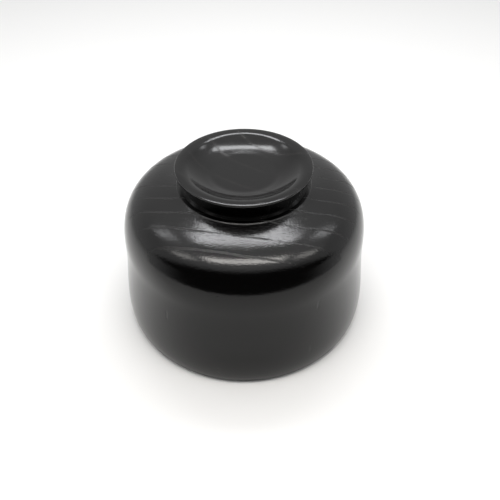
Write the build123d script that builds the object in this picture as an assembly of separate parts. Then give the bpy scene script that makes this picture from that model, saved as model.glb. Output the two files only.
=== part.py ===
"""A turned go stone bowl in black lacquered wood: a hollow body and the lid that lifts out of its mouth.

Both pieces are turned about +Z. The origin is the centre of the base, on the surface the bowl
stands on. All sizes are in millimetres, and an outline is a list of (radius, height) points.
"""

from build123d import *

import os
from math import cos, radians, sin, tan

# Outside of the bowl. Its widest ring, low on the wall, has a radius of 70.
base_radius = 68.4  # where the rounded base edge ends and the wall begins
base_edge_radius = 2.4
wall_lean = 24.0  # degrees that the wall leans outward as it leaves the base
wall_reach_low = 10.9  # how far the wall keeps each end's direction
wall_reach_high = 18.2
shoulder_radius = 66.65  # where the wall ends, upright, and the dome begins
shoulder_height = 52.6
collar_foot_radius = 35.8  # where the dome meets the collar
collar_foot_height = 83.4
collar_slope = 21.0  # degrees below the horizontal at which the dome leaves the collar
dome_reach_low = 30.4  # how far the dome keeps each end's direction
dome_reach_high = 13.5
collar_radius = 35.6  # top edge of the collar, which carries the lid
collar_height = 83.7

# Inside of the bowl.
wall_thickness = 7.0  # at the shoulder
floor_height = 9.0
floor_corner_radius = 11.0
throat_height = 75.0  # underside of the mouth
throat_edge_radius = 1.5
mouth_radius = 32.2
throat_slope = 16.0  # degrees below the horizontal, under the mouth
inner_reach_low = 20.0
inner_reach_high = 14.0
recess_radius = 58.0  # shallow recess that leaves a ring to stand on
recess_depth = 1.6
recess_corner_radius = 1.2

# Lid.
lid_radius = 35.9
lid_top_height = 94.9
lid_band = 1.5  # height of the disc, from its highest ring to the top of the neck
neck_foot_radius = 33.6  # foot of the undercut neck, on the collar
neck_hollow = 0.3  # how far the neck's side is hollowed from straight
seat_gap = 0.15  # parting line between the collar and the lid's shoulder
spigot_clearance = 0.35  # all round, between the spigot and the mouth
spigot_depth = 7.0
spigot_chamfer = 0.6
rim_edge_radius = 0.4  # outer edge of the crowned rim
rim_fall = 14.5  # degrees that the crown has fallen where it meets that edge
rim_crown_radius = 8.0
dish_steepest = 33.2  # degrees above the horizontal, at the inner foot of the crown
dish_sweep_radius = 27.7  # hollow curve of the dish's wall
dish_cone_slope = 15.0  # degrees, at the foot of that curve
dish_cone_width = 2.5
dish_corner_radius = 12.0  # between the cone and the floor
dish_floor_slope = 1.0  # degrees, where the floor meets that corner
hollow_radius = 26.6  # the hollow underside, which holds captured stones in play
hollow_height = 84.4
hollow_corner_radius = 3.5


def reached(point, direction_degrees, reach):
    """The point that lies reach away from point, in a direction measured up from outward."""
    angle = radians(direction_degrees)
    return (point[0] + reach * cos(angle), point[1] + reach * sin(angle))


def smooth(start, start_direction, start_reach, end, end_direction, end_reach):
    """A curve that leaves start and arrives at end in the given directions."""
    after_start = reached(start, start_direction, start_reach)
    before_end = reached(end, end_direction, -end_reach)
    return Bezier(start, after_start, before_end, end)


def turned(edges):
    """The solid that the closed outline of edges sweeps about +Z."""
    outline = Wire(edges)
    upright_face = Face(outline).rotate(Axis.X, 90)
    return revolve(upright_face, Axis.Z, 360)


def bowl_body():
    lean = radians(wall_lean)
    edge_start = (base_radius - base_edge_radius * cos(lean), 0)
    wall_foot = (base_radius, base_edge_radius * (1 - sin(lean)))
    shoulder = (shoulder_radius, shoulder_height)
    collar_foot = (collar_foot_radius, collar_foot_height)
    collar_edge = (collar_radius, collar_height)
    mouth_edge = (mouth_radius, collar_height)
    throat_top = (mouth_radius, throat_height + throat_edge_radius)
    throat_side = (mouth_radius + throat_edge_radius, throat_height)
    inner_radius = shoulder_radius - wall_thickness
    inner_shoulder = (inner_radius, shoulder_height - 1.0)
    inner_low = (inner_radius, floor_height + floor_corner_radius)
    floor_edge = (inner_radius - floor_corner_radius, floor_height)
    floor_centre = (0, floor_height)
    recess_centre = (0, recess_depth)
    recess_corner = (recess_radius - recess_corner_radius, recess_depth)
    recess_side = (recess_radius, recess_depth - recess_corner_radius)
    recess_edge = (recess_radius, 0)
    return turned(
        [
            Line(recess_edge, edge_start),
            TangentArc(edge_start, wall_foot, tangent=(1, 0)),
            smooth(wall_foot, 90.0 - wall_lean, wall_reach_low, shoulder, 90.0, wall_reach_high),
            smooth(shoulder, 90.0, dome_reach_low, collar_foot, 180.0 - collar_slope, dome_reach_high),
            Line(collar_foot, collar_edge),
            Line(collar_edge, mouth_edge),
            Line(mouth_edge, throat_top),
            TangentArc(throat_top, throat_side, tangent=(0, -1)),
            smooth(throat_side, -throat_slope, inner_reach_high, inner_shoulder, -90.0, inner_reach_low),
            Line(inner_shoulder, inner_low),
            TangentArc(inner_low, floor_edge, tangent=(0, -1)),
            Line(floor_edge, floor_centre),
            Line(floor_centre, recess_centre),
            Line(recess_centre, recess_corner),
            TangentArc(recess_corner, recess_side, tangent=(1, 0)),
            Line(recess_side, recess_edge),
        ]
    )


def dish_edges():
    """The dished top, from its centre out to the edge of the crowned rim."""
    fall = radians(rim_fall)
    steepest = radians(dish_steepest)
    cone = radians(dish_cone_slope)
    floor = radians(dish_floor_slope)
    crown_outer = (
        lid_radius - rim_edge_radius * (1 - sin(fall)),
        lid_top_height - rim_crown_radius * (1 - cos(fall)),
    )
    crown_inner = (
        crown_outer[0] - rim_crown_radius * (sin(fall) + sin(steepest)),
        lid_top_height - rim_crown_radius * (1 - cos(steepest)),
    )
    sweep_foot = (
        crown_inner[0] - dish_sweep_radius * (sin(steepest) - sin(cone)),
        crown_inner[1] - dish_sweep_radius * (cos(cone) - cos(steepest)),
    )
    cone_foot = (sweep_foot[0] - dish_cone_width, sweep_foot[1] - dish_cone_width * tan(cone))
    floor_edge = (
        cone_foot[0] - dish_corner_radius * (sin(cone) - sin(floor)),
        cone_foot[1] - dish_corner_radius * (cos(floor) - cos(cone)),
    )
    reach = floor_edge[0] / 2
    centre = (0, floor_edge[1] - reach * tan(floor))
    return [
        smooth(centre, 0.0, reach, floor_edge, dish_floor_slope, reach / 2),
        TangentArc(floor_edge, cone_foot, tangent=(cos(floor), sin(floor))),
        Line(cone_foot, sweep_foot),
        TangentArc(sweep_foot, crown_inner, tangent=(cos(cone), sin(cone))),
        TangentArc(crown_inner, crown_outer, tangent=(cos(steepest), sin(steepest))),
    ]


def lid_body():
    shoulder_height_on_collar = collar_height + seat_gap
    spigot_radius = mouth_radius - spigot_clearance
    spigot_end = shoulder_height_on_collar - spigot_depth
    fall = radians(rim_fall)
    dish = dish_edges()
    dish_centre = dish[0] @ 0
    crown_outer = dish[-1] @ 1
    band_top = (lid_radius, crown_outer.Y - rim_edge_radius * cos(fall))
    band_foot = (lid_radius, lid_top_height - lid_band)
    neck_foot = (neck_foot_radius, shoulder_height_on_collar)
    neck_middle = (
        (band_foot[0] + neck_foot[0]) / 2 - neck_hollow,
        (band_foot[1] + neck_foot[1]) / 2,
    )
    spigot_top = (spigot_radius, shoulder_height_on_collar)
    spigot_side = (spigot_radius, spigot_end + spigot_chamfer)
    spigot_outer = (spigot_radius - spigot_chamfer, spigot_end)
    spigot_inner = (hollow_radius + spigot_chamfer, spigot_end)
    hollow_side = (hollow_radius, spigot_end + spigot_chamfer)
    hollow_side_top = (hollow_radius, hollow_height - hollow_corner_radius)
    hollow_top = (hollow_radius - hollow_corner_radius, hollow_height)
    hollow_centre = (0, hollow_height)
    return turned(
        [
            *dish,
            TangentArc(crown_outer, band_top, tangent=(cos(fall), -sin(fall))),
            Line(band_top, band_foot),
            ThreePointArc(band_foot, neck_middle, neck_foot),
            Line(neck_foot, spigot_top),
            Line(spigot_top, spigot_side),
            Line(spigot_side, spigot_outer),
            Line(spigot_outer, spigot_inner),
            Line(spigot_inner, hollow_side),
            Line(hollow_side, hollow_side_top),
            TangentArc(hollow_side_top, hollow_top, tangent=(0, 1)),
            Line(hollow_top, hollow_centre),
            Line(hollow_centre, dish_centre),
        ]
    )


os.makedirs("parts", exist_ok=True)
for name, make in (("bowl_body", bowl_body), ("lid_body", lid_body)):
    piece = make()
    piece.label = name
    export_step(piece, f"parts/{name}.step")
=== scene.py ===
from math import atan2, cos, pi, radians, sin, tan

import bpy
import numpy as np
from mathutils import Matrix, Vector


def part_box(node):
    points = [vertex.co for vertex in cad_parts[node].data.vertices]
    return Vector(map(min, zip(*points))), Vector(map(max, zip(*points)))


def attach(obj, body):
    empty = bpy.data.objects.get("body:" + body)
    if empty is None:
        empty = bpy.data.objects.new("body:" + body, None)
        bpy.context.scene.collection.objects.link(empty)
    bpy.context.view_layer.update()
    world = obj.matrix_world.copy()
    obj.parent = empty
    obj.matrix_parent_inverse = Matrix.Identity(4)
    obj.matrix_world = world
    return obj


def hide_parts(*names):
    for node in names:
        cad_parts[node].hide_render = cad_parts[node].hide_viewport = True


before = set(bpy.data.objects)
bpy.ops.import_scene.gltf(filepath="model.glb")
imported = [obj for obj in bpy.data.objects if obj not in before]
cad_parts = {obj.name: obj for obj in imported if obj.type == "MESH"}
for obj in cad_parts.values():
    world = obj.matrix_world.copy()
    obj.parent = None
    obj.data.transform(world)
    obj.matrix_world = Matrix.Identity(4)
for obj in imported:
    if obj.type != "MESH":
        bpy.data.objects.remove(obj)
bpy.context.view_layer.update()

MM = 0.001
BOWL_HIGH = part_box("bowl_body")[1]
LID_LOW, LID_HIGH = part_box("lid_body")

# The closed bowl, from model.glb. Every outline is a row of (radius, height) points.
BULGE_RADIUS = BOWL_HIGH.x
COLLAR_HEIGHT = BOWL_HIGH.z
LID_RADIUS = LID_HIGH.x
LID_TOP = LID_HIGH.z
SPIGOT_END = LID_LOW.z

# How finely the turned meshes are divided.
SEGMENTS = 288
STEP = 1.3 * MM  # along an outline
CORNER_STEPS = 5
SUPPORT = 0.12 * MM  # a ring this close to each eased corner keeps the shading true

# Relief of the lacquer, in millimetres. The first two are the same on both pieces, and the rest
# is scaled by each piece's grain.
PEEL = 0.012  # slow unevenness
DENT = -0.09  # in the walls
SPECKLE = 0.06  # fine unevenness, most of it on the dome
RING_STEP = 0.012  # rise across each growth ring
GROOVE = -0.02
OPEN_PORE = -0.045
FILLED_PORE = -0.008
PORE_SCALE = 1150.0  # pores and speckles across a metre

# What the grain adds to the roughness.
DULL_ROW = 0.22
DULL_PORE = 0.25

# Outside of the bowl.
BASE_RADIUS = BULGE_RADIUS - 1.6 * MM
BASE_EDGE = 2.4 * MM
WALL_LEAN = 24.0  # degrees outward, as the wall leaves the base
WALL_REACH = (10.9 * MM, 18.2 * MM)
SHOULDER = (BULGE_RADIUS - 3.35 * MM, 52.6 * MM)
COLLAR_FOOT = (BULGE_RADIUS - 34.2 * MM, COLLAR_HEIGHT - 0.3 * MM)
COLLAR_RADIUS = COLLAR_FOOT[0] - 0.2 * MM
COLLAR_SLOPE = 21.0
DOME_REACH = (30.4 * MM, 13.5 * MM)

# Inside of the bowl, and its underside.
INNER_RADIUS = SHOULDER[0] - 7.0 * MM
FLOOR_HEIGHT = 9.0 * MM
FLOOR_CORNER = 11.0 * MM
THROAT_HEIGHT = COLLAR_HEIGHT - 8.7 * MM  # underside of the mouth
THROAT_SLOPE = 16.0  # degrees below the horizontal, under the mouth
THROAT_REACH = (15.0 * MM, 20.0 * MM)
MOUTH_RADIUS = 32.2 * MM
RECESS_RADIUS = 58.0 * MM
RECESS_DEPTH = 1.6 * MM

# Lid.
LID_BAND = 1.5 * MM  # from the highest ring to the top of the neck
LID_SHOULDER = COLLAR_HEIGHT + 0.15 * MM
NECK_FOOT_RADIUS = 33.6 * MM
NECK_HOLLOW = 0.3 * MM
SPIGOT_RADIUS = MOUTH_RADIUS - 0.35 * MM
HOLLOW_RADIUS = 26.6 * MM
HOLLOW_TOP = LID_TOP - 10.5 * MM
HOLLOW_CORNER = 3.5 * MM
RIM_EDGE = 0.4 * MM
RIM_FALL = 14.5  # degrees, where the crowned rim meets its edge
RIM_CROWN = 8.0 * MM
DISH_STEEPEST = 33.2  # degrees, at the inner foot of the crown
DISH_SWEEP = 27.7 * MM  # radius of the hollow curve below it
DISH_CONE = 15.0
DISH_CONE_WIDTH = 2.5 * MM
DISH_CORNER = 12.0 * MM
DISH_FLOOR_SLOPE = 1.0


# ---------------------------------------------------------------- outlines


def along(direction):
    """The unit step in a direction given in degrees, measured up from outward."""
    return np.array([cos(radians(direction)), sin(radians(direction))])


def line(start, end, step=STEP):
    """A straight stretch, divided evenly."""
    start, end = np.array(start, float), np.array(end, float)
    count = max(1, round(float(np.linalg.norm(end - start)) / step))
    return start + np.linspace(0, 1, count + 1)[:, None] * (end - start)


def curve(start, start_direction, start_reach, end, end_direction, end_reach, step=STEP):
    """A cubic curve that leaves start and arrives at end in the given directions."""
    start, end = np.array(start, float), np.array(end, float)
    first = start + along(start_direction) * start_reach
    second = end - along(end_direction) * end_reach
    length = 1.15 * float(np.linalg.norm(end - start))  # near enough for the curves here
    count = max(4, round(length / step))
    t = np.linspace(0, 1, count + 1)[:, None]
    return (
        (1 - t) ** 3 * start
        + 3 * (1 - t) ** 2 * t * first
        + 3 * (1 - t) * t**2 * second
        + t**3 * end
    )


def arc(start, start_direction, radius, turn, step=STEP):
    """An arc that leaves start in a direction and turns by so many degrees, left if positive."""
    side = 1 if turn > 0 else -1
    centre = np.array(start, float) + radius * along(start_direction + 90 * side)
    count = max(4, round(abs(radians(turn)) * radius / step))
    angles = start_direction - 90 * side + np.linspace(0, turn, count + 1)
    return centre + radius * np.array([along(a) for a in angles])


def trimmed(points, reach):
    """points without the last stretch of length reach, with a support point just before the cut."""
    steps = np.linalg.norm(np.diff(points, axis=0), axis=1)
    at = np.concatenate([[0], np.cumsum(steps)])
    stops = [at[-1] - reach - SUPPORT, at[-1] - reach]
    kept = points[at < stops[0] - SUPPORT]
    cut = [[np.interp(s, at, points[:, k]) for k in (0, 1)] for s in stops]
    return np.concatenate([kept, cut])


def outline(*stretches):
    """Joins stretches end to end. A number between two of them eases their corner by that reach."""
    points, ease = np.array(stretches[0]), 0.0
    for item in stretches[1:]:
        if isinstance(item, float):
            ease = item
            continue
        if not ease:
            points = np.concatenate([points, item[1:]])
            continue
        corner = points[-1]
        points = trimmed(points, ease)
        item = trimmed(item[::-1], ease)[::-1]
        t = np.linspace(0, 1, CORNER_STEPS + 1)[1:-1, None]
        eased = (1 - t) ** 2 * points[-1] + 2 * (1 - t) * t * corner + t**2 * item[0]
        points, ease = np.concatenate([points, eased, item]), 0.0
    return points


def bowl_outline():
    """From the centre of the underside, up the outside, and down the inside to the floor's centre."""
    recess_corner = (RECESS_RADIUS, RECESS_DEPTH)
    recess_edge = (RECESS_RADIUS, 0)
    lean = radians(WALL_LEAN)
    edge_foot = (BASE_RADIUS - BASE_EDGE * cos(lean), 0)
    wall_foot = (BASE_RADIUS, BASE_EDGE * (1 - sin(lean)))
    collar_edge = (COLLAR_RADIUS, COLLAR_HEIGHT)
    mouth_edge = (MOUTH_RADIUS, COLLAR_HEIGHT)
    throat = (MOUTH_RADIUS, THROAT_HEIGHT)
    inner_shoulder = (INNER_RADIUS, SHOULDER[1] - 1.0 * MM)
    inner_low = (INNER_RADIUS, FLOOR_HEIGHT + FLOOR_CORNER)
    floor_edge = (INNER_RADIUS - FLOOR_CORNER, FLOOR_HEIGHT)
    return outline(
        line((0, RECESS_DEPTH), recess_corner, 4 * MM),
        1.0 * MM,
        line(recess_corner, recess_edge, 0.4 * MM),
        0.4 * MM,
        line(recess_edge, edge_foot),
        arc(edge_foot, 0, BASE_EDGE, 90 - WALL_LEAN, 0.4 * MM),
        curve(wall_foot, 90 - WALL_LEAN, WALL_REACH[0], SHOULDER, 90, WALL_REACH[1]),
        curve(SHOULDER, 90, DOME_REACH[0], COLLAR_FOOT, 180 - COLLAR_SLOPE, DOME_REACH[1]),
        0.15 * MM,
        line(COLLAR_FOOT, collar_edge, 0.1 * MM),
        0.15 * MM,
        line(collar_edge, mouth_edge, 0.8 * MM),
        0.4 * MM,
        line(mouth_edge, throat),
        1.5 * MM,
        curve(
            throat, -THROAT_SLOPE, THROAT_REACH[0], inner_shoulder, -90, THROAT_REACH[1], 1.8 * MM
        ),
        line(inner_shoulder, inner_low, 2.5 * MM),
        arc(inner_low, -90, FLOOR_CORNER, -90),
        line(floor_edge, (0, FLOOR_HEIGHT), 4 * MM),
    )


def lid_outline():
    """From the centre of the dish, out over the rim, down the neck and spigot, and into the hollow."""
    fall, steepest, cone, floor = (
        radians(a) for a in (RIM_FALL, DISH_STEEPEST, DISH_CONE, DISH_FLOOR_SLOPE)
    )
    crown_outer = (
        LID_RADIUS - RIM_EDGE * (1 - sin(fall)),
        LID_TOP - RIM_CROWN * (1 - cos(fall)),
    )
    band_top = (LID_RADIUS, crown_outer[1] - RIM_EDGE * cos(fall))
    crown_inner = (
        crown_outer[0] - RIM_CROWN * (sin(fall) + sin(steepest)),
        LID_TOP - RIM_CROWN * (1 - cos(steepest)),
    )
    sweep_foot = (
        crown_inner[0] - DISH_SWEEP * (sin(steepest) - sin(cone)),
        crown_inner[1] - DISH_SWEEP * (cos(cone) - cos(steepest)),
    )
    cone_foot = (
        sweep_foot[0] - DISH_CONE_WIDTH,
        sweep_foot[1] - DISH_CONE_WIDTH * tan(cone),
    )
    floor_edge = (
        cone_foot[0] - DISH_CORNER * (sin(cone) - sin(floor)),
        cone_foot[1] - DISH_CORNER * (cos(floor) - cos(cone)),
    )
    floor_reach = floor_edge[0] / 2
    centre = (0, floor_edge[1] - floor_reach * tan(floor))
    band_foot = (LID_RADIUS, LID_TOP - LID_BAND)
    neck_foot = (NECK_FOOT_RADIUS, LID_SHOULDER)
    neck_height = band_foot[1] - neck_foot[1]
    neck_lean = np.degrees(atan2(neck_height, band_foot[0] - neck_foot[0]))
    bow = np.degrees(atan2(2 * NECK_HOLLOW, neck_height / 2))
    spigot_top = (SPIGOT_RADIUS, LID_SHOULDER)
    spigot_foot = (SPIGOT_RADIUS, SPIGOT_END)
    hollow_foot = (HOLLOW_RADIUS, SPIGOT_END)
    hollow_side = (HOLLOW_RADIUS, HOLLOW_TOP - HOLLOW_CORNER)
    hollow_edge = (HOLLOW_RADIUS - HOLLOW_CORNER, HOLLOW_TOP)
    return outline(
        curve(centre, 0, floor_reach, floor_edge, DISH_FLOOR_SLOPE, floor_reach / 2),
        arc(floor_edge, DISH_FLOOR_SLOPE, DISH_CORNER, DISH_CONE - DISH_FLOOR_SLOPE, 0.2 * MM),
        line(cone_foot, sweep_foot, 0.7 * MM),
        arc(sweep_foot, DISH_CONE, DISH_SWEEP, DISH_STEEPEST - DISH_CONE, 0.7 * MM),
        arc(crown_inner, DISH_STEEPEST, RIM_CROWN, -RIM_FALL - DISH_STEEPEST, 0.3 * MM),
        arc(crown_outer, -RIM_FALL, RIM_EDGE, RIM_FALL - 90, 0.1 * MM),
        line(band_top, band_foot, 0.6 * MM),
        0.2 * MM,
        curve(
            band_foot,
            180 + neck_lean - bow,
            neck_height / 3,
            neck_foot,
            180 + neck_lean + bow,
            neck_height / 3,
            0.8 * MM,
        ),
        0.3 * MM,
        line(neck_foot, spigot_top, 0.5 * MM),
        0.2 * MM,
        line(spigot_top, spigot_foot, 0.9 * MM),
        0.6 * MM,
        line(spigot_foot, hollow_foot, 0.9 * MM),
        0.6 * MM,
        line(hollow_foot, hollow_side, 0.9 * MM),
        arc(hollow_side, 90, HOLLOW_CORNER, 90, 0.8 * MM),
        line(hollow_edge, (0, HOLLOW_TOP), 3 * MM),
    )


def turned(name, points):
    """A closed smooth mesh: the outline, whose two ends lie on the axis, turned about +Z."""
    rings = points[1:-1]
    angles = np.linspace(0, 2 * pi, SEGMENTS, endpoint=False)
    around = np.stack([np.cos(angles), np.sin(angles)], axis=1)
    places = [(0, 0, points[0][1])]
    for radius, height in rings:
        places += [(radius * c, radius * s, height) for c, s in around]
    places.append((0, 0, points[-1][1]))
    last = len(places) - 1
    faces = []
    for k in range(SEGMENTS):
        after = (k + 1) % SEGMENTS
        faces.append((0, 1 + after, 1 + k))
        for ring in range(len(rings) - 1):
            low, high = 1 + ring * SEGMENTS, 1 + (ring + 1) * SEGMENTS
            faces.append((low + k, low + after, high + after, high + k))
        top = 1 + (len(rings) - 1) * SEGMENTS
        faces.append((last, top + k, top + after))
    mesh = bpy.data.meshes.new(name)
    mesh.from_pydata(places, [], faces)
    mesh.validate()
    mesh.shade_smooth()
    piece = bpy.data.objects.new(name, mesh)
    bpy.context.scene.collection.objects.link(piece)
    return piece


# ---------------------------------------------------------------- materials


class Nodes:
    """A short way to write a node tree."""

    def __init__(self, tree):
        self.tree = tree
        tree.nodes.clear()

    def add(self, kind, inputs=None, **settings):
        node = self.tree.nodes.new("ShaderNode" + kind)
        for key, value in settings.items():
            setattr(node, key, value)
        for key, value in (inputs or {}).items():
            if isinstance(value, bpy.types.NodeSocket):
                self.tree.links.new(value, node.inputs[key])
            else:
                node.inputs[key].default_value = value
        return node

    def maths(self, operation, a, b=0.0, c=0.0):
        return self.add("Math", {0: a, 1: b, 2: c}, operation=operation).outputs[0]

    def product(self, a, b):
        return self.maths("MULTIPLY", a, b)

    def vector(self, operation, a, b, c=(0, 0, 0)):
        return self.add("VectorMath", {0: a, 1: b, 2: c}, operation=operation).outputs[0]

    def length(self, a):
        return self.add("VectorMath", {0: a}, operation="LENGTH").outputs["Value"]

    def part(self, a, axis):
        return self.add("SeparateXYZ", {0: a}).outputs[axis]

    def noise(self, place, scale, detail, output="Fac"):
        """Noise whose patches are about 1 / scale metres wide, with so many finer octaves."""
        inputs = {"Vector": place, "Scale": scale, "Detail": detail}
        return self.add("TexNoise", inputs).outputs[output]

    def ramp(self, value, low, high, to_low=0.0, to_high=1.0):
        """value from low to high, mapped smoothly to to_low to to_high and held beyond them."""
        return self.add(
            "MapRange",
            {"Value": value, "From Min": low, "From Max": high, "To Min": to_low, "To Max": to_high},
            interpolation_type="SMOOTHSTEP",
        ).outputs[0]

    def mixed_colour(self, factor, first, second):
        """first where factor is 0, and second where it is 1."""
        inputs = {"Factor": factor, "A": (*first, 1), "B": (*second, 1)}
        return self.add("Mix", inputs, data_type="RGBA").outputs["Result"]


def new_material(name):
    """A new material and its empty node tree."""
    material = bpy.data.materials.new(name)
    material.use_nodes = True
    return material, Nodes(material.node_tree)


def growth_rings(n, place, pith, first_ring, spacing):
    """How many rings beyond the first one a place lies. The rings wander a little."""
    shift = n.vector("SUBTRACT", n.noise(place, 16.0, 3.0, "Color"), (0.5, 0.5, 0.5))
    bent = n.vector("MULTIPLY_ADD", shift, (6 * MM, 6 * MM, 0.0), place)
    from_pith = n.vector("SUBTRACT", bent, pith)
    radius = n.length(n.vector("MULTIPLY", from_pith, (1, 1, 0.04)))
    return n.maths("DIVIDE", n.maths("SUBTRACT", radius, first_ring), spacing)


def wall_dents(n, place, upward):
    """Where the walls have a few short, ragged, upright dents."""
    tall = n.vector("MULTIPLY", place, (1.0, 1.0, 0.22))
    cells = n.add("TexVoronoi", {"Vector": tall, "Scale": 160.0, "Randomness": 1.0})
    chosen = n.ramp(n.part(cells.outputs["Color"], "X"), 0.45, 0.5)
    middle = n.ramp(cells.outputs["Distance"], 0.07, 0.17, 1.0, 0.0)
    on_walls = n.product(n.product(middle, chosen), n.ramp(upward, 0.2, 0.5, 1.0, 0.0))
    return n.product(on_walls, n.ramp(n.noise(place, 900.0, 1.0), 0.35, 0.6))


def lacquer(name, pith, first_ring, spacing, grain, roughness):
    """Black lacquer over wood whose grain runs upright, with its growth rings about pith.

    grain says how much of the wood shows through, and roughness is the lowest and the highest.
    """
    material, n = new_material(name)
    place = n.add("TexCoord").outputs["Object"]
    rings = growth_rings(n, place, pith, first_ring, spacing)
    # The rings show where the end grain faces up or down, and hardly at all on the walls.
    upward = n.maths("ABSOLUTE", n.part(n.add("NewGeometry").outputs["True Normal"], "Z"))
    end_grain = n.ramp(upward, 0.25, 0.85, 0.05, 1.0)
    shows = n.product(end_grain, n.ramp(n.noise(place, 45.0, 1.0), 0.3, 0.55, 0.45, 1.0))
    # Each ring begins with a broken row of open pores, and a fine groove among them.
    pores = n.noise(n.vector("MULTIPLY", place, (1.0, 1.0, 0.1)), PORE_SCALE, 2.0)
    row = n.product(n.ramp(n.maths("PINGPONG", rings, 0.5), 0.0, 0.11, 1.0, 0.0), shows)
    groove = n.product(n.ramp(row, 0.55, 0.95), n.ramp(pores, 0.4, 0.55, 0.25, 1.0))
    open_pores = n.product(row, n.ramp(pores, 0.5, 0.6))
    # Elsewhere the pores are filled, and leave shallow dots, or upright streaks on the walls.
    filled = n.product(n.ramp(pores, 0.6, 0.75), n.ramp(end_grain, 0.05, 1.0, 0.3, 1.0))
    fine = n.noise(place, PORE_SCALE, 1.0)
    speckle = n.product(fine, n.ramp(end_grain, 0.05, 0.5, 0.3, 1.0))
    height = n.product(n.noise(place, 420.0, 3.0), PEEL)
    for pattern, depth in (
        (speckle, SPECKLE * grain),
        (n.product(n.maths("FRACT", rings), end_grain), RING_STEP * grain),
        (groove, GROOVE * grain),
        (open_pores, OPEN_PORE * grain),
        (filled, FILLED_PORE * grain),
        (wall_dents(n, place, upward), DENT),
    ):
        height = n.maths("MULTIPLY_ADD", pattern, depth, height)
    bump = n.add("Bump", {"Height": height, "Strength": 1.0, "Distance": MM}).outputs[0]
    # The rows of pores are duller than the lacquer beside them.
    rough = n.ramp(n.noise(place, 38.0, 4.0), 0.3, 0.7, *roughness)
    rough = n.maths("MULTIPLY_ADD", n.ramp(row, 0.3, 0.8), DULL_ROW * grain, rough)
    deep = n.maths("MAXIMUM", open_pores, groove)
    rough = n.maths("MULTIPLY_ADD", deep, DULL_PORE * grain, rough)
    colour = n.mixed_colour(groove, (0.0006, 0.0005, 0.0005), (0.003, 0.0022, 0.0018))
    inputs = {"Base Color": colour, "Roughness": rough, "Normal": bump, "IOR": 1.5}
    n.add("OutputMaterial", {"Surface": n.add("BsdfPrincipled", inputs).outputs[0]})
    return material


def floor_material():
    """A matt pale floor, which has no edge to the eye."""
    material, n = new_material("pale_floor")
    place = n.add("TexCoord").outputs["Object"]
    ray = n.add("LightPath").outputs
    # Painted shade: in the bowl's reflections, the floor in front is painted dimmer than to the eye.
    front = n.ramp(n.part(place, "Y"), -0.11, -0.01, 1.0, 0.0)
    painted_reflected_shade = n.product(front, ray["Is Glossy Ray"])
    colour = n.mixed_colour(painted_reflected_shade, (0.885, 0.885, 0.88), (0.57, 0.57, 0.565))
    inputs = {"Base Color": colour, "Roughness": 0.75, "Specular IOR Level": 0.2}
    floor = n.add("BsdfPrincipled", inputs).outputs[0]
    # To the eye, the far floor fades into the white room.
    fade = n.product(n.ramp(n.length(place), 0.7, 1.7), ray["Is Camera Ray"])
    white = n.add("Emission", {"Strength": 1.0}).outputs[0]
    faded = n.add("MixShader", {0: fade, 1: floor, 2: white}).outputs[0]
    # From below, the floor lets the underside of the bowl be seen.
    below = n.add("NewGeometry").outputs["Backfacing"]
    clear = n.add("BsdfTransparent").outputs[0]
    mixed = n.add("MixShader", {0: below, 1: faded, 2: clear}).outputs[0]
    n.add("OutputMaterial", {"Surface": mixed})
    return material


def painted_room_shade_material():
    """Painted shade, nearly black in front, and painted light, paler towards the card's two ends."""
    material, n = new_material("dark_card")
    strength = n.ramp(n.part(n.add("TexCoord").outputs["Object"], "Y"), -0.2, -0.05, 0.03, 0.6)
    shader = n.add("Emission", {"Strength": strength})
    n.add("OutputMaterial", {"Surface": shader.outputs[0]})
    return material


# ---------------------------------------------------------------- the set


def add_floor():
    """A round floor, with a hole that the bowl covers, so that light reaches its underside."""
    hole, reach, count = 66.0 * MM, 6.0, 96
    angles = [2 * pi * k / count for k in range(count)]
    places = [(radius * cos(a), radius * sin(a), 0) for radius in (hole, reach) for a in angles]
    faces = [(k, count + k, count + (k + 1) % count, (k + 1) % count) for k in range(count)]
    mesh = bpy.data.meshes.new("floor")
    mesh.from_pydata(places, [], faces)
    mesh.materials.append(floor_material())
    floor = bpy.data.objects.new("floor", mesh)
    bpy.context.scene.collection.objects.link(floor)


def add_panel(name, centre, width, depth, glare, colour):
    """A flat light overhead, facing down, glare times as bright as white paper."""
    lamp = bpy.data.lights.new(name, "AREA")
    lamp.shape = "RECTANGLE"
    lamp.size, lamp.size_y = width, depth
    lamp.energy = glare * pi * width * depth
    lamp.color = colour
    light = bpy.data.objects.new(name, lamp)
    light.location = centre
    light.visible_camera = False
    bpy.context.scene.collection.objects.link(light)


def add_card():
    """A dark curved card in front, seen only in reflections: painted shade for the unlit room behind
    the camera.
    """
    radius, height = 0.27, 0.1
    reach, count = 80, 40  # degrees to each side, and how many panes in all
    places, faces = [], []
    for k in range(count + 1):
        angle = radians(-90 - reach + 2 * reach * k / count)
        places += [(radius * cos(angle), radius * sin(angle), z) for z in (0.0, height)]
    for k in range(count):
        faces.append((2 * k, 2 * k + 2, 2 * k + 3, 2 * k + 1))
    mesh = bpy.data.meshes.new("dark_card")
    mesh.from_pydata(places, [], faces)
    mesh.materials.append(painted_room_shade_material())
    card = bpy.data.objects.new("dark_card", mesh)
    card.visible_camera = False
    card.visible_diffuse = False
    card.visible_shadow = False
    card.visible_transmission = False
    bpy.context.scene.collection.objects.link(card)


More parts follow.
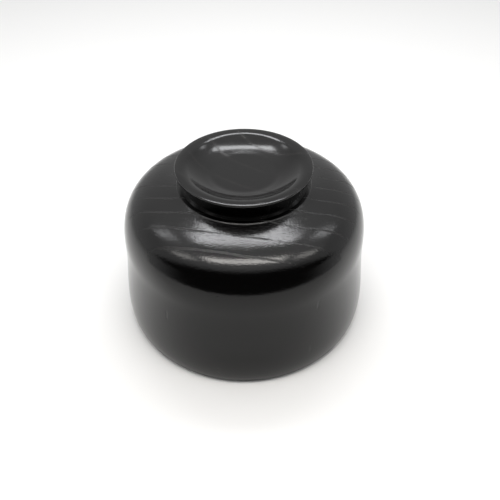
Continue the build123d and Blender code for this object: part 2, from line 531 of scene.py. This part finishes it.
def add_world():
    """A pale room to the camera. In reflections its front is dark, as behind a camera."""
    world = bpy.data.worlds.new("studio")
    world.use_nodes = True
    bpy.context.scene.world = world
    n = Nodes(world.node_tree)
    axes = n.add("SeparateXYZ", {0: n.add("TexCoord").outputs["Generated"]}).outputs
    # How far ahead a ceiling of height one is met.
    forward = n.maths("DIVIDE", axes["Y"], n.maths("MAXIMUM", axes["Z"], 0.03))
    lit = n.ramp(forward, -1.15, -0.5, 0.04, 1.0)
    overhead = n.ramp(axes["Z"], 0.55, 0.9, 0.65, 1.0)
    camera = n.add("LightPath").outputs["Is Camera Ray"]
    inputs = {"Factor": camera, "A": n.product(lit, overhead), "B": 1.0}
    strength = n.add("Mix", inputs).outputs["Result"]
    background = n.add("Background", {"Color": (1, 1, 1, 1), "Strength": strength})
    n.add("OutputWorld", {"Surface": background.outputs[0]})


def add_lights():
    """Two rows of three panels under the ceiling, the back row a little cooler."""
    ceiling = 0.6
    cool, warm = (0.97, 0.98, 1.0), (1.0, 0.97, 0.93)
    for name, y, depth, centre_width, side_x, side_width, glare, colour in (
        ("back", 0.225, 0.09, 0.39, 0.444, 0.25, 11.0, cool),
        ("front", -0.145, 0.12, 0.46, 0.471, 0.26, 9.0, warm),
    ):
        add_panel(f"{name}_panel", (0, y, ceiling), centre_width, depth, glare, colour)
        for side in (-1, 1):
            place = (side * side_x, y, ceiling)
            add_panel(f"{name}_panel_{side}", place, side_width, depth, 0.33 * glare, colour)


def add_camera():
    """From the front and above, aimed at the middle of the bowl."""
    target_height, distance = 34.4 * MM, 330.2 * MM
    pitch, yaw = radians(42.17), radians(-0.75)
    back = Vector((0, -cos(pitch), sin(pitch)))
    camera = bpy.data.objects.new("camera", bpy.data.cameras.new("camera"))
    camera.data.lens = 40.3
    camera.data.sensor_width = 36.0
    camera.location = Vector((0, 0, target_height)) + back * distance
    camera.rotation_euler = (pi / 2 - pitch, 0, yaw)
    bpy.context.scene.collection.objects.link(camera)
    bpy.context.scene.camera = camera


def add_pieces():
    """The two turned pieces. The pith of each block of wood lay outside the piece."""
    bowl_wood = lacquer(
        "bowl_lacquer",
        pith=(0.040, 0.235, 0),
        first_ring=4.6 * MM,
        spacing=10.2 * MM,
        grain=1.0,
        roughness=(0.11, 0.16),
    )
    lid_wood = lacquer(
        "lid_lacquer",
        pith=(0.055, 0.085, 0),
        first_ring=15.5 * MM,
        spacing=16.0 * MM,
        grain=0.25,
        roughness=(0.11, 0.15),
    )
    for node, body, points, wood in (
        ("bowl_body", "bowl", bowl_outline(), bowl_wood),
        ("lid_body", "lid", lid_outline(), lid_wood),
    ):
        piece = turned("turned_" + body, points)
        piece.data.materials.append(wood)
        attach(piece, body)
        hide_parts(node)


add_camera()
add_pieces()
add_floor()
add_card()
add_world()
add_lights()
bpy.context.scene.view_settings.view_transform = "Standard"
